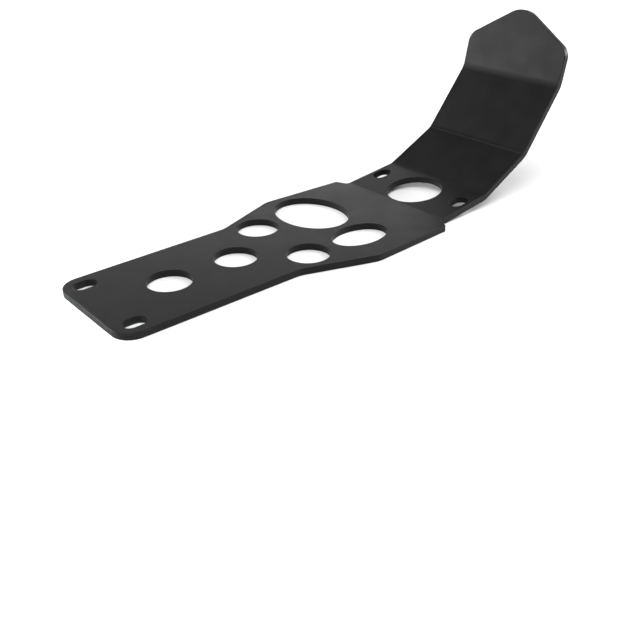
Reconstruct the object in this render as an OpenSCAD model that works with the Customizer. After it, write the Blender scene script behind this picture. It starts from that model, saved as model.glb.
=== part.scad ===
// Motorcycle skid plate: one sheet, cut to its outline, drilled, slotted and folded upward four times.
// It lies as it rests, with the underside of its long tail section on z = 0 and the nose towards +X.
// The origin is midway between the two tail slots. +Y is the left side, where the largest opening is.
// The inside face is the one on the inner side of the folds, which looks up at the engine.
// Lengths along the plate are measured on the inside face, from fold line to fold line.

/* [Sheet] */
// Thickness of the sheet
sheet_t = 5; // [3:0.5:6]
// Inside radius of every fold
fold_r = 14; // [8:0.5:16]

/* [Tail section, up to the first fold] */
// Width of the tail
tail_w = 90; // [84:1:96]
// Tail end to the start of the flare
tail_len = 133; // [130:1:140]
// Length of the flare
flare_len = 54; // [40:1:60]
// Greatest width, where the flare ends
belly_w = 130; // [126:1:140]
// Greatest width to the notch
belly_len = 70.5; // [66:0.5:80]
// Width just before the notch
belly_end_w = 122.8; // [118:0.2:126]
// Length of the notch's slanted edge, measured along the plate
notch_len = 4; // [3:0.5:8]
// Notch to the first fold line
notch_to_fold_len = 3; // [2.5:0.5:8]

/* [Front section, riser, chest and nose] */
// Width just after the notch, from where the sides run straight to the fourth fold line
front_w = 104; // [100:0.5:108]
// Width of the nose, which is even up to its corners
nose_w = 98.4; // [92:0.2:108]
// First fold line to the second
front_len = 48; // [47:0.5:60]
// Second fold line to the third
riser_len = 50.5; // [35:0.5:70]
// Third fold line to the fourth
chest_len = 60; // [40:1:80]
// Fourth fold line to the nose's corners
nose_side_len = 27; // [20:1:35]
// Nose's corners to the point where its slanted edges would meet
nose_tip_len = 28.2; // [22:0.2:34]

/* [Folds] */
// Angle of the first fold
fold_1_angle = 7; // [3:0.5:12]
// Angle of the second fold
fold_2_angle = 19.1; // [14:0.1:24]
// Angle of the third fold
fold_3_angle = 24.9; // [20:0.1:28]
// Angle of the fourth fold
fold_4_angle = 26.6; // [20:0.1:30]

/* [Rounded corners] */
// Radius of the tail's corners
tail_corner_r = 14; // [6:0.5:16]
// Radius where the flare starts and where it ends
flare_r = 20; // [10:1:30]
// Radius of the notch's outer corner
notch_outer_r = 1.5; // [0.5:0.5:3]
// Radius in the notch's inner corner
notch_inner_r = 3; // [1:0.5:4]
// Radius of the nose's corners
nose_corner_r = 12; // [5:1:20]
// Radius of the nose's tip
nose_tip_r = 22; // [10:1:30]

/* [Bolt slots] */
// Length of each slot, end to end along the plate
slot_len = 16.5; // [13:0.5:18]
// Width of each slot
slot_w = 11; // [8:0.5:12]
// Tail end to the middle of the tail slots
tail_slot_inset = 15; // [12:0.5:20]
// Spacing of the tail slots, middle to middle across the plate
tail_slot_spacing = 65; // [56:0.5:66]
// First fold line to the middle of the front slots
front_slot_inset = 28; // [24:0.5:30]
// Spacing of the front slots, middle to middle across the plate
front_slot_spacing = 85; // [82:0.5:86]

/* [Round and oval openings] */
// Diameter of the four lightening holes
round_hole_d = 31; // [24:0.5:34]
// Tail end to the first hole on the centre line
centre_hole_inset = 59; // [50:0.5:62]
// Spacing of the two holes on the centre line
centre_hole_spacing = 52.8; // [46:0.2:58]
// Start of the flare to the pair of holes in it
pair_hole_inset = 19.5; // [17:0.5:22]
// Spacing of that pair across the plate
pair_hole_spacing = 59; // [50:0.5:60]
// End of the flare to the middle of the two oval openings
oval_inset = 13; // [11:0.5:18]
// Left oval opening, size along the plate
left_oval_len = 51; // [40:0.5:54]
// Left oval opening, how far it reaches past the centre line
left_oval_past_centre = 8; // [4:0.5:10]
// Sheet left between the left oval opening and the plate's edge
left_oval_rim = 8; // [6:0.5:14]
// Right oval opening, size along the plate
right_oval_len = 46; // [36:0.5:52]
// Sheet left between the right oval opening and the plate's edge
right_oval_rim = 19; // [12:0.5:24]
// Sheet left between the two oval openings
oval_web = 6; // [5:0.5:9]
// Diameter of the drain opening in the front section
drain_d = 44; // [36:0.5:45]
// First fold line to the middle of the drain opening
drain_inset = 23; // [22:0.5:24]

/* [Hidden] */
$fn = 96;

// Straight pieces in the arc of a rounded corner or a fold, and round an oval
arc_steps = 12;
oval_steps = 72;
// How far each cut, and what is cut away, runs past the sheet
cut_over = 2;
// How far the nose's cut starts outside its straight sides, so that it cuts only the corners and the tip
side_spare = 0.05;

// Panels in order from the tail: tail section, front section, riser, chest, nose
tail_section_len = tail_len + flare_len + belly_len + notch_len + notch_to_fold_len;
panel_lens = [tail_section_len, front_len, riser_len, chest_len, nose_side_len + nose_tip_len];
// Fold n leads from panel n - 1 to panel n, so the first entry stands for the tail end
fold_angles = [0, fold_1_angle, fold_2_angle, fold_3_angle, fold_4_angle];
folds = len(fold_angles) - 1;
// Length of the sides that run straight, from the first fold line to the last
side_len = front_len + riser_len + chest_len;
// Tail end to the end of the flare, where the plate is widest
belly_inset = tail_len + flare_len;
// Sides of the two oval openings, from the centre line
left_oval_sides = [-left_oval_past_centre, belly_w / 2 - left_oval_rim];
right_oval_sides = [right_oval_rim - belly_w / 2, left_oval_sides[0] - oval_web];

function unit_of(v) = v / norm(v);

// Slope of panel n, which is the sum of the folds before it
function slope(n) = n == 0 ? 0 : slope(n - 1) + fold_angles[n];
function along(angle) = [cos(angle), sin(angle)];
function outward(angle) = [sin(angle), -cos(angle)];

// Where fold line n lies on the inside face, as [x, z]. Line 0 is the tail end.
function fold_line(n) = n == 0
    ? [-tail_slot_inset, sheet_t]
    : fold_line(n - 1) + panel_lens[n - 1] * along(slope(n - 1));

// Where the outside faces of the two panels would meet at fold n
function outer_line(n) =
    let (half = fold_angles[n] / 2)
    fold_line(n) + sheet_t / cos(half) * outward(slope(n) - half);

// Width of the plate at fold line n, from the first one on
function width_at(n) = n == 1
    ? front_w
    : width_at(n - 1) + (nose_w - front_w) * panel_lens[n - 1] / side_len;

// Points of the arc that rounds corner b of the path a, b, c, whichever way it turns
function corner_arc(a, b, c, r) =
    let (
        to_a = unit_of(a - b),
        to_c = unit_of(c - b),
        half = acos(to_a * to_c) / 2,
        middle = b + unit_of(to_a + to_c) * r / sin(half),
        first = b + to_a * r / tan(half) - middle,
        start = atan2(first.y, first.x),
        turn = sign(cross(b - a, c - b)) * (180 - 2 * half)
    )
    [for (i = [0 : arc_steps]) middle + r * along(start + turn * i / arc_steps)];

// A closed path with each corner rounded to its own radius, and kept sharp where that is 0
function rounded(path, radii) =
    let (count = len(path))
    [for (i = [0 : count - 1])
        each radii[i] == 0
            ? [path[i]]
            : corner_arc(path[(i + count - 1) % count], path[i], path[(i + 1) % count], radii[i])];

function reversed(list) = [for (i = [len(list) - 1 : -1 : 0]) list[i]];
function mirrored(side) = concat(side, [for (p = reversed(side)) [p.x, -p.y]]);

// Puts what is drawn in panel n's own frame on the plate: x from its first fold line, z = 0 on its underside
module on_panel(n) {
    translate([fold_line(n).x, 0, fold_line(n).y])
        rotate([0, -slope(n), 0])
            translate([0, 0, -sheet_t])
                children();
}

// The folded sheet seen from its right side, longer than the plate at both ends
module fold_profile() {
    tail_over = -cut_over * along(slope(0));
    nose_over = cut_over * along(slope(folds));
    inner = concat(
        [fold_line(0) + tail_over],
        [for (n = [1 : folds]) fold_line(n)],
        [fold_line(folds + 1) + nose_over]
    );
    outer = concat(
        [inner[0] + sheet_t * outward(slope(0))],
        [for (n = [1 : folds]) outer_line(n)],
        [inner[folds + 1] + sheet_t * outward(slope(folds))]
    );
    inner_radii = [for (n = [0 : folds + 1]) n == 0 || n == folds + 1 ? 0 : fold_r];
    outer_radii = [for (r = inner_radii) r == 0 ? 0 : r + sheet_t];
    polygon(rounded(concat(inner, reversed(outer)), concat(inner_radii, outer_radii)));
}

// The plate's outline seen from above, left open ahead of the nose
module plan_outline() {
    tail_at = fold_line(0).x;
    flare_at = tail_at + tail_len;
    belly_at = tail_at + belly_inset;
    notch_at = belly_at + belly_len;
    neck_at = notch_at + notch_len;
    ahead = fold_line(folds + 1).x + sheet_t + cut_over;
    side = concat(
        [
            [tail_at, -tail_w / 2],
            [flare_at, -tail_w / 2],
            [belly_at, -belly_w / 2],
            [notch_at, -belly_end_w / 2],
            [neck_at, -front_w / 2]
        ],
        [for (n = [1 : folds]) [fold_line(n).x, -width_at(n) / 2]],
        [[ahead, -nose_w / 2]]
    );
    corner_radii = [tail_corner_r, flare_r, flare_r, notch_outer_r, notch_inner_r];
    radii = [for (i = [0 : len(side) - 1]) i < len(corner_radii) ? corner_radii[i] : 0];
    polygon(rounded(mirrored(side), concat(radii, reversed(radii))));
}

// The nose's pointed outline in its own panel's frame, a little wider than the plate along its sides
module nose_outline() {
    half_w = nose_w / 2 + side_spare;
    side = [[0, -half_w], [nose_side_len, -half_w]];
    path = concat(side, [[nose_side_len + nose_tip_len, 0]], [for (p = reversed(side)) [p.x, -p.y]]);
    polygon(rounded(path, [0, nose_corner_r, nose_tip_r, nose_corner_r, 0]));
}

// What is cut from the end of the sheet to leave the nose
module nose_cut() {
    start = nose_side_len / 2;
    blank_w = nose_w + 2 * cut_over;
    translate([0, 0, -cut_over])
        linear_extrude(sheet_t + 2 * cut_over)
            difference() {
                translate([start, -blank_w / 2])
                    square([nose_side_len + nose_tip_len + 2 * cut_over - start, blank_w]);
                nose_outline();
            }
}

module folded_sheet() {
    top = fold_line(folds + 1).y;
    intersection() {
        rotate([90, 0, 0])
            linear_extrude(belly_w + 2 * cut_over, center = true)
                fold_profile();
        translate([0, 0, -cut_over])
            linear_extrude(top + 3 * cut_over)
                plan_outline();
    }
}

// Cuts in a panel's own frame, each square to the sheet

module round_cut(x, y, d) {
    translate([x, y, -cut_over])
        cylinder(d = d, h = sheet_t + 2 * cut_over);
}

// sides gives where the oval starts and ends across the plate
module oval_cut(x, sides, length) {
    width = sides[1] - sides[0];
    translate([x, (sides[0] + sides[1]) / 2, -cut_over])
        linear_extrude(sheet_t + 2 * cut_over)
            polygon([for (i = [0 : oval_steps - 1])
                let (point = along(360 * i / oval_steps))
                [length / 2 * point.x, width / 2 * point.y]]);
}

module slot_cut(x, y) {
    straight = slot_len - slot_w;
    for (end = [-1, 1])
        round_cut(x + end * straight / 2, y, slot_w);
    translate([x - straight / 2, y - slot_w / 2, -cut_over])
        cube([straight, slot_w, sheet_t + 2 * cut_over]);
}

module tail_section_cuts() {
    for (side = [-1, 1]) {
        slot_cut(tail_slot_inset, side * tail_slot_spacing / 2);
        round_cut(tail_len + pair_hole_inset, side * pair_hole_spacing / 2, round_hole_d);
    }
    for (n = [0, 1])
        round_cut(centre_hole_inset + n * centre_hole_spacing, 0, round_hole_d);
    oval_cut(belly_inset + oval_inset, left_oval_sides, left_oval_len);
    oval_cut(belly_inset + oval_inset, right_oval_sides, right_oval_len);
}

module front_section_cuts() {
    for (side = [-1, 1])
        slot_cut(front_slot_inset, side * front_slot_spacing / 2);
    round_cut(drain_inset, 0, drain_d);
}

module skid_plate() {
    color([0.16, 0.16, 0.16])
        difference() {
            folded_sheet();
            on_panel(0) tail_section_cuts();
            on_panel(1) front_section_cuts();
            on_panel(folds) nose_cut();
        }
}

skid_plate();
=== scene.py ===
"""A motorcycle skid plate: one folded sheet under a black powder coat, on a plain pale floor."""

import math
from typing import NamedTuple

import bmesh
import bpy
from bpy.props import FloatProperty, FloatVectorProperty, IntProperty, PointerProperty
from mathutils import Matrix, Vector


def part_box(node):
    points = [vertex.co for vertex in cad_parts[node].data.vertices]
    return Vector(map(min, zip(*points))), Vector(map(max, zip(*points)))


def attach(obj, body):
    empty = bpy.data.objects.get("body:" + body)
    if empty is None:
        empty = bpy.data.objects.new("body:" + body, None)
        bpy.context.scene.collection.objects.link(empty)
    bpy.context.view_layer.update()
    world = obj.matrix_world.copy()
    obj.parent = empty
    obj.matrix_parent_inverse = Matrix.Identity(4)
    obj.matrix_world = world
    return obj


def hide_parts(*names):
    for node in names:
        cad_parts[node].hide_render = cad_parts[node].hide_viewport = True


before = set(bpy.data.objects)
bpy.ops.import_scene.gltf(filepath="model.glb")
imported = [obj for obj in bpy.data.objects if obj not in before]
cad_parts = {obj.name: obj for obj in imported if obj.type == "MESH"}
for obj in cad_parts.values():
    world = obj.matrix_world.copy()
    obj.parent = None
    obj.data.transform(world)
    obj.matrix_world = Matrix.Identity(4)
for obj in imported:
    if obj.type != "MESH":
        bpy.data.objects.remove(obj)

bl_info = {
    "name": "Motorcycle skid plate",
    "version": (1, 0, 0),
    "blender": (4, 5, 0),
    "location": "3D View > Sidebar > Skid plate",
    "description": "Cuts, folds and coats a skid plate and sets it on a plain floor",
    "category": "Add Mesh",
}

NODE = "skid_plate"
BODY = "root"
MM = 0.001
CAD_LOW, CAD_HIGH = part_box(NODE)
PLATE_MIDDLE = (CAD_LOW + CAD_HIGH) / 2
LEFT_SIDE = Vector((0, 1, 0))
WITHOUT_Y = Vector((1, 0, 1))

# How far the finished sheet's box may differ from the solid's
FIT_TOLERANCE = 0.4 * MM
# Two points nearer than this are taken as one
SAME_PLACE = 0.01 * MM
# Neighbouring faces that turn by less than this are joined into one
SAME_PLANE = math.radians(0.1)
# Edges that turn by more than this are rims, and get rounded
RIM_ANGLE = math.radians(50)
# Edges that turn by more than this are still drawn sharp
SHARP_ANGLE = math.radians(35)
# The panels are numbered from the tail, with the riser as number 2, and each fold has the number
# of the panel that it leads to
FLAT, FRONT, CHEST, NOSE = 0, 1, 3, 4
FULLY_MATT = 1.0
NO_SHINE = 0.0
# The sockets that a Mix node uses for colours, by number, because its others have the same names
MIX_FACTOR, MIX_FIRST, MIX_SECOND = 0, 6, 7
MIX_COLOUR = 2


class Lamp(NamedTuple):
    """A soft lamp, turned towards its aim from a heading to the right of +Y and a height above it."""

    name: str
    heading: float
    height: float
    distance: float
    width: float
    depth: float
    watts: float
    spread: float = 180
    aim: Vector = PLATE_MIDDLE


# Headings, heights and spreads in degrees, the rest in metres and watts
LAMPS = (
    Lamp("key_light", heading=240, height=55, distance=4, width=3, depth=3, watts=89),
    Lamp("overhead_light", heading=0, height=90, distance=4, width=3, depth=3, watts=30),
    Lamp("right_light", heading=105, height=45, distance=4, width=1.8, depth=1.8, watts=68),
    Lamp("low_right_light", heading=110, height=15, distance=1.6, width=0.4, depth=0.3, watts=10.4),
    Lamp("side_light", heading=120, height=12, distance=1.6, width=0.6, depth=0.4, watts=5.5),
    Lamp("low_left_light", heading=315, height=6, distance=1.6, width=0.8, depth=0.2, watts=10.6),
    Lamp("back_left_light", heading=330, height=25, distance=1.6, width=0.6, depth=0.5, watts=4.9),
    Lamp("back_light", heading=40, height=14, distance=1.6, width=1.6, depth=0.25, watts=3.6),
    # A narrow one on the floor behind the tail, which the face of the tail's end reflects
    Lamp(
        "tail_light", heading=285, height=60, distance=1.6, width=0.1, depth=0.1, watts=0.15,
        spread=5, aim=Vector((-0.085, 0.015, 0)),
    ),
)


def length(name, default, description):
    return FloatProperty(
        name=name, description=description, default=default, min=0,
        subtype="DISTANCE", unit="LENGTH", precision=4,
    )


def angle(name, degrees, description):
    return FloatProperty(
        name=name, description=description, default=math.radians(degrees), min=0,
        subtype="ANGLE", unit="ROTATION",
    )


def share(name, default, description):
    return FloatProperty(
        name=name, description=description, default=default, min=0, max=1, subtype="FACTOR",
    )


def colour(name, default, description):
    return FloatVectorProperty(
        name=name, description=description, default=default, min=0, max=1, size=3, subtype="COLOR",
    )


def point(name, default, description):
    return FloatVectorProperty(
        name=name, description=description, default=default, size=3,
        subtype="TRANSLATION", unit="LENGTH",
    )


# Sizes and finishes that a user would change


class SheetSizes(bpy.types.PropertyGroup):
    """Lengths along the plate run on its inside face, from fold line to fold line."""

    thickness: length("Thickness", 5 * MM, "Thickness of the sheet")
    fold_radius: length("Fold radius", 14 * MM, "Inside radius of every fold")
    rim_radius: length("Rim radius", 0.4 * MM, "How much the coat rounds each cut edge")
    tail_width: length("Tail width", 90 * MM, "Width of the tail")
    tail_length: length("Tail length", 133 * MM, "Tail end to the start of the flare")
    flare_length: length("Flare length", 54 * MM, "Length of the flare")
    belly_width: length("Belly width", 130 * MM, "Greatest width, where the flare ends")
    belly_length: length("Belly length", 70.5 * MM, "Greatest width to the notch")
    belly_end_width: length("Belly end width", 122.8 * MM, "Width just before the notch")
    notch_length: length("Notch length", 4 * MM, "Length of the notch's slanted edge")
    neck_length: length("Neck length", 3 * MM, "Notch to the first fold line")
    front_width: length("Front width", 104 * MM, "Width just after the notch")
    nose_width: length("Nose width", 98.4 * MM, "Width of the nose")
    front_length: length("Front length", 48 * MM, "First fold line to the second")
    riser_length: length("Riser length", 50.5 * MM, "Second fold line to the third")
    chest_length: length("Chest length", 60 * MM, "Third fold line to the fourth")
    nose_length: length("Nose side length", 27 * MM, "Fourth fold line to the nose's corners")
    tip_length: length("Tip length", 28.2 * MM, "Nose's corners to its point, before rounding")
    front_fold: angle("Front fold", 7, "Angle of the first fold")
    riser_fold: angle("Riser fold", 19.1, "Angle of the second fold")
    chest_fold: angle("Chest fold", 24.9, "Angle of the third fold")
    nose_fold: angle("Nose fold", 26.6, "Angle of the fourth fold")
    tail_corner: length("Tail corner", 14 * MM, "Radius of the tail's corners")
    flare_corner: length("Flare corner", 20 * MM, "Radius where the flare starts and ends")
    notch_outer: length("Notch outer corner", 1.5 * MM, "Radius of the notch's outer corner")
    notch_inner: length("Notch inner corner", 3 * MM, "Radius in the notch's inner corner")
    nose_corner: length("Nose corner", 12 * MM, "Radius of the nose's corners")
    tip_corner: length("Tip corner", 22 * MM, "Radius of the nose's tip")


class OpeningSizes(bpy.types.PropertyGroup):
    """The slots, holes and ovals that are cut through the sheet."""

    slot_length: length("Slot length", 16.5 * MM, "Length of each slot, end to end")
    slot_width: length("Slot width", 11 * MM, "Width of each slot")
    tail_slot_inset: length("Tail slot inset", -CAD_LOW.x, "Tail end to the middle of its slots")
    tail_slot_spacing: length("Tail slot spacing", 65 * MM, "Tail slots, middle to middle")
    front_slot_inset: length("Front slot inset", 28 * MM, "First fold line to its slots")
    front_slot_spacing: length("Front slot spacing", 85 * MM, "Front slots, middle to middle")
    hole_diameter: length("Hole diameter", 31 * MM, "Diameter of the four lightening holes")
    centre_hole_inset: length("Centre hole inset", 59 * MM, "Tail end to the first centre hole")
    centre_hole_spacing: length("Centre hole spacing", 52.8 * MM, "Between the centre holes")
    pair_hole_inset: length("Pair inset", 19.5 * MM, "Start of the flare to its pair of holes")
    pair_hole_spacing: length("Pair spacing", 59 * MM, "Between the pair of holes")
    oval_inset: length("Oval inset", 13 * MM, "End of the flare to the middle of the ovals")
    left_oval_length: length("Left oval length", 51 * MM, "Left oval, along the plate")
    left_oval_width: length("Left oval width", 65 * MM, "Left oval, across the plate")
    left_oval_offset: length("Left oval offset", 24.5 * MM, "Left oval, from the centre line")
    right_oval_length: length("Right oval length", 46 * MM, "Right oval, along the plate")
    right_oval_width: length("Right oval width", 32 * MM, "Right oval, across the plate")
    right_oval_offset: length("Right oval offset", 30 * MM, "Right oval, from the centre line")
    drain_diameter: length("Drain diameter", 44 * MM, "Opening under the drain plug")
    drain_inset: length("Drain inset", 23 * MM, "First fold line to the drain opening")


class MeshDetail(bpy.types.PropertyGroup):
    """How finely curves are divided."""

    corner_steps: IntProperty(
        name="Corner steps", description="Straight pieces in each rounded corner",
        default=16, min=2, max=64,
    )
    fold_steps: IntProperty(
        name="Fold steps", description="Straight pieces in each fold", default=5, min=1, max=32,
    )
    opening_steps: IntProperty(
        name="Opening steps", description="Straight pieces round each opening",
        default=96, min=16, max=256,
    )
    rim_steps: IntProperty(
        name="Rim steps", description="Faces across each rounded rim", default=3, min=1, max=8,
    )


class CoatLook(bpy.types.PropertyGroup):
    """The black powder coat."""

    tint: colour("Tint", (0.0020, 0.0020, 0.0020), "Colour of the coat")
    light_tint: colour("Light tint", (0.0096, 0.0096, 0.0096), "Colour where the coat is cloudy")
    # The mark in the chest fold is a painted highlight: a lighter line along the crease
    crease_highlight_tint: colour("Mark tint", (0.026, 0.026, 0.026), "Colour of the mark in the chest fold")
    crease_highlight_width: length("Mark width", 1.2 * MM, "Width of the mark in the chest fold")
    shine: share("Shine", 0.18, "Strength of the coat's reflections")
    gloss_roughness: share("Gloss roughness", 0.32, "Roughness where the coat is smoothest")
    matt_roughness: share("Matt roughness", 0.52, "Roughness where the coat is dullest")
    cloud_size: length("Cloud size", 20 * MM, "Size of the cloudy patches")
    peel_size: length("Peel size", 1.6 * MM, "Spacing of the orange peel")
    peel_height: length("Peel height", 0.012 * MM, "Height of the orange peel")
    grain_size: length("Grain size", 0.35 * MM, "Spacing of the powder's grain")
    grain_height: length("Grain height", 0.004 * MM, "Height of the powder's grain")


class StageLook(bpy.types.PropertyGroup):
    """The floor, the lights and the camera."""

    floor_size: length("Floor size", 12, "Side of the square floor")
    floor_tint: colour("Floor tint", (0.90, 0.90, 0.90), "Colour of the floor")
    air_light: colour("Air light", (0.3, 0.3, 0.3), "Light from all round")
    camera_place: point("Camera", (-0.188773, -0.434795, 0.253045), "Place of the camera")
    camera_tilt: angle("Tilt", 59.881, "Camera's turn from straight down")
    camera_roll: angle("Roll", 1.085, "Camera's roll")
    camera_heading: angle("Heading", 40.240, "Camera's turn to the right of straight ahead")
    camera_lens: FloatProperty(
        name="Lens", description="Focal length of the camera", default=46.695, min=1,
        unit="CAMERA",
    )


# Modelling


def only(made):
    """Selects one object alone and makes it active."""
    bpy.ops.object.select_all(action="DESELECT")
    made.select_set(True)
    bpy.context.view_layer.objects.active = made


def settle(made):
    """Puts an object's place, turn and scale into its mesh."""
    only(made)
    bpy.ops.object.transform_apply(location=True, rotation=True, scale=True)


def select_points(made, test):
    """In edit mode, selects the points that pass a test, with the edges and faces between them."""
    bpy.ops.mesh.select_all(action="DESELECT")
    bpy.ops.mesh.select_mode(type="VERT")
    shape = bmesh.from_edit_mesh(made.data)
    for corner in shape.verts:
        corner.select_set(bool(test(corner.co)))
    shape.select_flush(True)
    bmesh.update_edit_mesh(made.data)


def along(slope):
    """The direction along a panel, towards the nose."""
    return Vector((math.cos(slope), 0, math.sin(slope)))


def inward(slope):
    """The direction square to a panel, off its inside face."""
    return Vector((-math.sin(slope), 0, math.cos(slope)))


def mirrored(place):
    """The same place on the other side of the plate."""
    return Vector((place.x, -place.y, place.z))


class Folding:
    """The line that the inside face follows, worked out from the sizes."""

    def __init__(self, sheet, openings):
        self.sheet = sheet
        self.angles = [0, sheet.front_fold, sheet.riser_fold, sheet.chest_fold, sheet.nose_fold]
        self.flare_inset = sheet.tail_length
        self.belly_inset = self.flare_inset + sheet.flare_length
        self.notch_inset = self.belly_inset + sheet.belly_length
        self.neck_inset = self.notch_inset + sheet.notch_length
        self.lengths = [
            self.neck_inset + sheet.neck_length,
            sheet.front_length,
            sheet.riser_length,
            sheet.chest_length,
            sheet.nose_length + sheet.tip_length,
        ]
        self.slopes = [sum(self.angles[: panel + 1]) for panel in range(len(self.angles))]
        self.lines = [Vector((-openings.tail_slot_inset, 0, sheet.thickness))]
        for panel_length, slope in zip(self.lengths, self.slopes):
            self.lines.append(self.lines[-1] + panel_length * along(slope))

    def tangent(self, fold):
        """Fold line to the start or end of its arc."""
        return self.sheet.fold_radius * math.tan(self.angles[fold] / 2)

    def crease(self, fold):
        """The middle of a fold's arc."""
        half = self.angles[fold] / 2
        gap = self.sheet.fold_radius * (1 / math.cos(half) - 1)
        return self.lines[fold] + gap * inward(self.slopes[fold] - half)

    def flat_length(self, panel):
        """Length of a panel between the arcs of its two folds."""
        return self.lengths[panel] - self.tangent(panel) - self.tangent(panel + 1)

    def width_at(self, fold):
        """Width at a fold line: the sides run straight from the first one to the last."""
        sheet = self.sheet
        run = sum(self.lengths[FRONT:fold])
        whole = sum(self.lengths[FRONT:NOSE])
        return sheet.front_width + (sheet.nose_width - sheet.front_width) * run / whole

    def place(self, panel, x, y):
        """A point on a panel's inside face, x from the panel's start and y to the left."""
        return self.lines[panel] + x * along(self.slopes[panel]) + y * LEFT_SIDE


def extend(step, widening=1.0):
    """In edit mode, pulls the selected edge on by a step and changes its width."""
    bpy.ops.mesh.extrude_region_move(TRANSFORM_OT_translate={"value": step})
    bpy.ops.transform.resize(value=(1, widening, 1), center_override=(0, 0, 0))


def clean_strip(strip):
    """Merges the doubles of a strip in edit mode, joins its level faces and turns all faces upward."""
    bpy.ops.mesh.select_all(action="SELECT")
    bpy.ops.mesh.remove_doubles(threshold=SAME_PLACE)
    bpy.ops.mesh.normals_make_consistent(inside=False)
    bpy.ops.mesh.dissolve_limited(angle_limit=SAME_PLANE)
    bpy.ops.object.mode_set(mode="OBJECT")
    if strip.data.polygons[0].normal.z < 0:
        bpy.ops.object.mode_set(mode="EDIT")
        bpy.ops.mesh.select_all(action="SELECT")
        bpy.ops.mesh.flip_normals()
        bpy.ops.object.mode_set(mode="OBJECT")


def folded_strip(sheet, folding, detail):
    """The inside face of the plate, as one strip pulled on from the tail and turned at each fold."""
    tail_end = folding.lines[0]
    bpy.ops.mesh.primitive_plane_add(size=1, location=tail_end + along(0) * sheet.tail_length / 2)
    strip = bpy.context.object
    strip.name = "skid_plate_sheet"
    strip.scale = (sheet.tail_length, sheet.tail_width, 1)
    settle(strip)
    bpy.ops.object.mode_set(mode="EDIT")
    flare_at = tail_end.x + sheet.tail_length
    select_points(strip, lambda place: place.x > flare_at - SAME_PLACE)
    extend((sheet.flare_length, 0, 0), sheet.belly_width / sheet.tail_width)
    extend((sheet.belly_length, 0, 0), sheet.belly_end_width / sheet.belly_width)
    extend((sheet.notch_length, 0, 0), sheet.front_width / sheet.belly_end_width)
    extend((sheet.neck_length - folding.tangent(FRONT), 0, 0))
    for fold in range(FRONT, NOSE + 1):
        before = folding.slopes[fold - 1]
        arc_start = folding.lines[fold] - folding.tangent(fold) * along(before)
        bpy.ops.mesh.spin(
            steps=detail.fold_steps,
            angle=folding.angles[fold],
            center=arc_start + sheet.fold_radius * inward(before),
            axis=LEFT_SIDE,
        )
        if fold < NOSE:
            widening = folding.width_at(fold + 1) / folding.width_at(fold)
            extend(folding.flat_length(fold) * along(folding.slopes[fold]), widening)
    up_the_nose = along(folding.slopes[NOSE])
    extend((sheet.nose_length - folding.tangent(NOSE)) * up_the_nose)
    extend(sheet.tip_length * up_the_nose)
    bpy.ops.mesh.merge(type="CENTER")
    clean_strip(strip)
    return strip


def round_corners(strip, before, corner, after, radius, steps):
    """In edit mode, rounds the corner at a place on the outline, and its twin on the other side."""
    turn = (corner - before).angle(after - corner)
    if turn < SAME_PLANE:
        raise RuntimeError(f"the outline doesn't turn at {tuple(corner)}")
    # This profile makes the middle of the rounding lie on the true arc
    middle = 1 - math.tan(turn / 4) / (2 * math.sin(turn / 2))
    select_points(
        strip,
        lambda place: (Vector((place.x, abs(place.y), place.z)) - corner).length < SAME_PLACE,
    )
    bpy.ops.mesh.bevel(
        affect="VERTICES",
        offset_type="OFFSET",
        offset=radius * math.tan(turn / 2),
        segments=steps,
        profile=middle ** 2,
    )


def round_outline(strip, sheet, folding, detail):
    """Rounds the corners of the strip's outline, from the tail to the nose."""
    tail = folding.place(FLAT, 0, sheet.tail_width / 2)
    flare = folding.place(FLAT, folding.flare_inset, sheet.tail_width / 2)
    belly = folding.place(FLAT, folding.belly_inset, sheet.belly_width / 2)
    notch = folding.place(FLAT, folding.notch_inset, sheet.belly_end_width / 2)
    neck = folding.place(FLAT, folding.neck_inset, sheet.front_width / 2)
    neck_end = folding.place(FLAT, folding.lengths[FLAT], sheet.front_width / 2)
    nose_start = folding.place(NOSE, 0, sheet.nose_width / 2)
    nose_side = folding.place(NOSE, sheet.nose_length, sheet.nose_width / 2)
    tip = folding.lines[-1]
    only(strip)
    bpy.ops.object.mode_set(mode="EDIT")
    for before, corner, after, radius in (
        (mirrored(tail), tail, flare, sheet.tail_corner),
        (tail, flare, belly, sheet.flare_corner),
        (flare, belly, notch, sheet.flare_corner),
        (belly, notch, neck, sheet.notch_outer),
        (notch, neck, neck_end, sheet.notch_inner),
        (nose_start, nose_side, tip, sheet.nose_corner),
        (nose_side, tip, mirrored(nose_side), sheet.tip_corner),
    ):
        round_corners(strip, before, corner, after, radius, detail.corner_steps)
    bpy.ops.object.mode_set(mode="OBJECT")


def apply_modifier(made, kind, **settings):
    """Adds a modifier to an object and applies it."""
    only(made)
    finish = made.modifiers.new(kind.title(), kind)
    for name, value in settings.items():
        setattr(finish, name, value)
    bpy.ops.object.modifier_apply(modifier=finish.name)


def cutter(folding, detail, panel, x, y, size, stretch=0.0):
    """A punch through a panel: an oval of a size along and across the plate, stretched along it."""
    thickness = folding.sheet.thickness
    # Turned by half a step, so that no corner lies on the line where it is stretched
    half_step = math.pi / detail.opening_steps
    # One metre across at first, so that the resize brings it to its size
    bpy.ops.mesh.primitive_cylinder_add(
        vertices=detail.opening_steps, radius=0.5, depth=2 * thickness, rotation=(0, 0, half_step),
    )
    punch = bpy.context.object
    settle(punch)
    bpy.ops.object.mode_set(mode="EDIT")
    bpy.ops.mesh.select_all(action="SELECT")
    bpy.ops.transform.resize(value=(*size, 1), center_override=(0, 0, 0))
    if stretch:
        for end in (-1, 1):
            select_points(punch, lambda place: place.x * end > 0)
            bpy.ops.transform.translate(value=(end * stretch / 2, 0, 0))
    bpy.ops.object.mode_set(mode="OBJECT")
    slope = folding.slopes[panel]
    middle = folding.place(panel, x, y) - thickness / 2 * inward(slope)
    punch.matrix_world = Matrix.Translation(middle) @ Matrix.Rotation(-slope, 4, "Y")
    settle(punch)
    return punch


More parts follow.
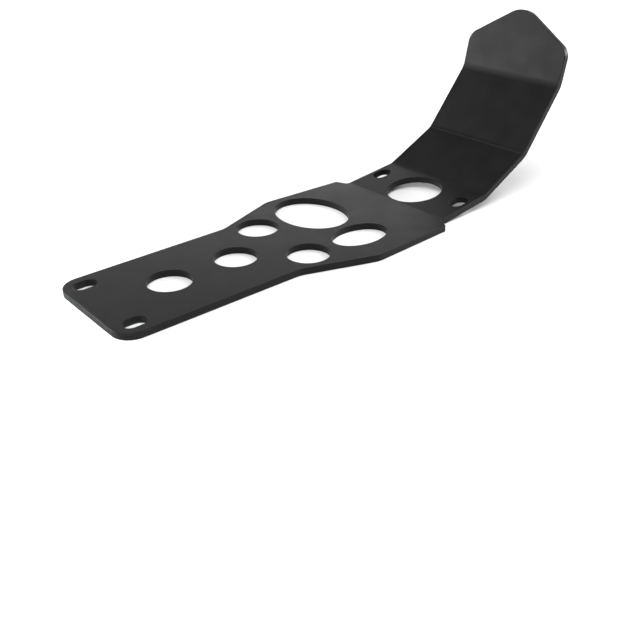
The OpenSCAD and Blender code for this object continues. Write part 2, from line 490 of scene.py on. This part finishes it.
def punches(openings, folding, detail):
    """One object that holds the cutters of all the openings."""
    slot = (openings.slot_width, openings.slot_width)
    slot_stretch = openings.slot_length - openings.slot_width
    hole = (openings.hole_diameter, openings.hole_diameter)
    drain = (openings.drain_diameter, openings.drain_diameter)
    left_oval = (openings.left_oval_length, openings.left_oval_width)
    right_oval = (openings.right_oval_length, openings.right_oval_width)
    ovals_at = folding.belly_inset + openings.oval_inset
    pair_at = folding.flare_inset + openings.pair_hole_inset
    wanted = [
        (FLAT, ovals_at, openings.left_oval_offset, left_oval),
        (FLAT, ovals_at, -openings.right_oval_offset, right_oval),
        (FRONT, openings.drain_inset, 0, drain),
    ]
    for side in (-1, 1):
        tail_y = side * openings.tail_slot_spacing / 2
        front_y = side * openings.front_slot_spacing / 2
        wanted.append((FLAT, openings.tail_slot_inset, tail_y, slot, slot_stretch))
        wanted.append((FRONT, openings.front_slot_inset, front_y, slot, slot_stretch))
        wanted.append((FLAT, pair_at, side * openings.pair_hole_spacing / 2, hole))
    for number in (0, 1):
        hole_at = openings.centre_hole_inset + number * openings.centre_hole_spacing
        wanted.append((FLAT, hole_at, 0, hole))
    made = [cutter(folding, detail, *opening) for opening in wanted]
    only(made[0])
    for punch in made:
        punch.select_set(True)
    bpy.ops.object.join()
    return made[0]


def finished_sheet(scene):
    """The whole plate: folded, rounded, thickened, punched, and with softened rims."""
    sheet, openings, detail = scene.plate_sheet, scene.plate_openings, scene.plate_detail
    folding = Folding(sheet, openings)
    strip = folded_strip(sheet, folding, detail)
    round_outline(strip, sheet, folding, detail)
    apply_modifier(strip, "SOLIDIFY", thickness=sheet.thickness, offset=-1, use_even_offset=True)
    punch = punches(openings, folding, detail)
    apply_modifier(strip, "BOOLEAN", operation="DIFFERENCE", solver="EXACT", object=punch)
    bpy.data.objects.remove(punch)
    apply_modifier(
        strip,
        "BEVEL",
        width=sheet.rim_radius,
        segments=detail.rim_steps,
        limit_method="ANGLE",
        angle_limit=RIM_ANGLE,
        use_clamp_overlap=False,
    )
    only(strip)
    bpy.ops.object.shade_smooth_by_angle(angle=SHARP_ANGLE)
    apply_modifier(strip, "WEIGHTED_NORMAL", keep_sharp=True)
    return strip


# Materials


class Value:
    """A shader socket, in an expression on numbers that adds its Math nodes."""

    def __init__(self, look, socket):
        self.look = look
        self.socket = socket

    def math(self, operation, *others, clamp=False):
        settings = {"operation": operation, "use_clamp": clamp}
        values = dict(enumerate((self, *others)))
        return self.look.node("ShaderNodeMath", settings, values)

    def __add__(self, other):
        return self.math("ADD", other)

    __radd__ = __add__

    def __mul__(self, other):
        return self.math("MULTIPLY", other)

    __rmul__ = __mul__

    def __sub__(self, other):
        return self.math("SUBTRACT", other)

    def __rsub__(self, other):
        return (self * -1) + other

    def clamped(self):
        return self.math("ADD", 0, clamp=True)


class Look:
    """A material, and the one method that makes its nodes."""

    def __init__(self, name):
        self.material = bpy.data.materials.new(name)
        self.material.use_nodes = True
        self.tree = self.material.node_tree
        self.surface = next(n for n in self.tree.nodes if n.type == "BSDF_PRINCIPLED")

    def feed(self, socket, value):
        if isinstance(value, Value):
            self.tree.links.new(value.socket, socket)
        else:
            socket.default_value = value

    def node(self, kind, settings, inputs, output=0):
        """Adds a node, sets it up, feeds its sockets, and gives one of its outputs."""
        made = self.tree.nodes.new(kind)
        for name, value in settings.items():
            setattr(made, name, value)
        for name, value in inputs.items():
            self.feed(made.inputs[name], value)
        return Value(self, made.outputs[output])

    def blend(self, mask, first, second):
        """One colour where a mask is 0 and another where it is 1."""
        inputs = {MIX_FACTOR: mask, MIX_FIRST: first, MIX_SECOND: second}
        return self.node("ShaderNodeMix", {"data_type": "RGBA"}, inputs, output=MIX_COLOUR)

    def noise(self, place, size, detail=2.0):
        """Soft noise from 0 to 1 with features of about a size."""
        inputs = {"Vector": place, "Scale": 1 / size, "Detail": detail}
        return self.node("ShaderNodeTexNoise", {}, inputs)

    def set(self, **inputs):
        for name, value in inputs.items():
            self.feed(self.surface.inputs[name.replace("_", " ")], value)


def rgba(tint):
    return (*tint, 1.0)


def crease_highlight_mask(look, place, crease, width):
    """1 along a crease, where a painted highlight lightens the sheet, and 0 from half a width off it.
    """
    # Without its y, a place anywhere across the plate lies as far from the crease as on its middle
    on_middle = look.node(
        "ShaderNodeVectorMath", {"operation": "MULTIPLY"}, {0: place, 1: WITHOUT_Y}
    )
    gap = look.node(
        "ShaderNodeVectorMath", {"operation": "DISTANCE"}, {0: on_middle, 1: crease}, output="Value"
    )
    return (1 - gap * (2 / width)).clamped()


def powder_coat(scene):
    """Black powder coat: neutral and faintly cloudy, with a fine orange peel and a satin sheen."""
    coat = scene.plate_coat
    folding = Folding(scene.plate_sheet, scene.plate_openings)
    look = Look("black_powder_coat")
    place = look.node("ShaderNodeTexCoord", {}, {}, output="Object")
    clouds = look.noise(place, coat.cloud_size, detail=3.0)
    # A painted highlight along the chest fold's crease
    painted_highlight = crease_highlight_mask(look, place, folding.crease(CHEST), coat.crease_highlight_width)
    body = look.blend(clouds, rgba(coat.tint), rgba(coat.light_tint))
    spread = coat.matt_roughness - coat.gloss_roughness
    peel = look.noise(place, coat.peel_size)
    grain = look.noise(place, coat.grain_size)
    # In metres, so the bump takes it as it is
    height = peel * coat.peel_height + grain * coat.grain_height
    relief = look.node("ShaderNodeBump", {}, {"Strength": 1.0, "Distance": 1.0, "Height": height})
    look.set(
        # The coat's colour, lightened along the chest fold by the painted highlight
        Base_Color=look.blend(painted_highlight, body, rgba(coat.crease_highlight_tint)),
        Specular_IOR_Level=coat.shine,
        Roughness=clouds * spread + coat.gloss_roughness,
        Normal=relief,
    )
    return look.material


def floor_paint(stage):
    """Matt white studio paper."""
    look = Look("studio_paper")
    look.set(
        Base_Color=rgba(stage.floor_tint), Roughness=FULLY_MATT, Specular_IOR_Level=NO_SHINE,
    )
    return look.material


# Operators


def check_fit(sheet):
    """Stops the script if the finished sheet isn't as large as the solid that it stands for."""
    for axis, (wanted_low, wanted_high) in enumerate(zip(CAD_LOW, CAD_HIGH)):
        low = min(corner[axis] for corner in sheet.bound_box)
        high = max(corner[axis] for corner in sheet.bound_box)
        if max(abs(low - wanted_low), abs(high - wanted_high)) > FIT_TOLERANCE:
            raise RuntimeError(f"the sheet runs from {low} to {high} along axis {axis}")


class PLATE_OT_make_sheet(bpy.types.Operator):
    """Cut, fold and coat the skid plate"""

    bl_idname = "plate.make_sheet"
    bl_label = "Make the plate"
    bl_options = {"REGISTER", "UNDO"}

    def execute(self, context):
        sheet = finished_sheet(context.scene)
        check_fit(sheet)
        sheet.data.materials.clear()
        sheet.data.materials.append(powder_coat(context.scene))
        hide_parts(NODE)
        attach(sheet, BODY)
        return {"FINISHED"}


def add_lamp(lamp):
    """Adds one of the soft lamps, turned towards its aim."""
    turn = Matrix.Rotation(-math.radians(lamp.heading), 3, "Z")
    rise = Matrix.Rotation(math.radians(lamp.height), 3, "X")
    direction = turn @ rise @ Vector((0, 1, 0))
    bpy.ops.object.light_add(
        type="AREA",
        location=lamp.aim + lamp.distance * direction,
        rotation=direction.to_track_quat("Z", "Y").to_euler(),
    )
    made = bpy.context.object
    made.name = lamp.name
    made.data.shape = "RECTANGLE"
    made.data.size = lamp.width
    made.data.size_y = lamp.depth
    made.data.energy = lamp.watts
    made.data.spread = math.radians(lamp.spread)


class PLATE_OT_set_stage(bpy.types.Operator):
    """Add the floor, the soft lights and the camera"""

    bl_idname = "plate.set_stage"
    bl_label = "Set the stage"
    bl_options = {"REGISTER", "UNDO"}

    def execute(self, context):
        stage = context.scene.plate_stage
        bpy.ops.mesh.primitive_plane_add(size=stage.floor_size, location=(0, 0, CAD_LOW.z))
        floor = bpy.context.object
        floor.name = "floor"
        settle(floor)
        floor.data.materials.append(floor_paint(stage))
        for lamp in LAMPS:
            add_lamp(lamp)
        bpy.ops.object.camera_add(
            location=stage.camera_place,
            rotation=(stage.camera_tilt, stage.camera_roll, -stage.camera_heading),
        )
        camera = bpy.context.object
        camera.name = "camera"
        camera.data.lens = stage.camera_lens
        context.scene.camera = camera
        world = bpy.data.worlds.new("studio_air")
        world.use_nodes = True
        air = next(n for n in world.node_tree.nodes if n.type == "BACKGROUND")
        air.inputs["Color"].default_value = rgba(stage.air_light)
        context.scene.world = world
        context.scene.view_settings.view_transform = "Standard"
        return {"FINISHED"}


class PLATE_PT_panel(bpy.types.Panel):
    """Lists the steps and their sizes"""

    bl_idname = "PLATE_PT_panel"
    bl_label = "Skid plate"
    bl_space_type = "VIEW_3D"
    bl_region_type = "UI"
    bl_category = "Skid plate"

    def draw(self, context):
        for operator in OPERATORS:
            self.layout.operator(operator.bl_idname)
        for name in GROUPS:
            group = getattr(context.scene, name)
            box = self.layout.box()
            box.label(text=name.replace("_", " ").capitalize())
            for size in group.__annotations__:
                box.prop(group, size)


GROUPS = {
    "plate_sheet": SheetSizes,
    "plate_openings": OpeningSizes,
    "plate_detail": MeshDetail,
    "plate_coat": CoatLook,
    "plate_stage": StageLook,
}
OPERATORS = (PLATE_OT_make_sheet, PLATE_OT_set_stage)
CLASSES = (*GROUPS.values(), *OPERATORS, PLATE_PT_panel)


def register():
    for made in CLASSES:
        bpy.utils.register_class(made)
    for name, group in GROUPS.items():
        setattr(bpy.types.Scene, name, PointerProperty(type=group))


def unregister():
    for name in GROUPS:
        delattr(bpy.types.Scene, name)
    for made in reversed(CLASSES):
        bpy.utils.unregister_class(made)


def main():
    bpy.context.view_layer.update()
    register()
    bpy.ops.plate.make_sheet()
    bpy.ops.plate.set_stage()


if __name__ == "__main__":
    main()
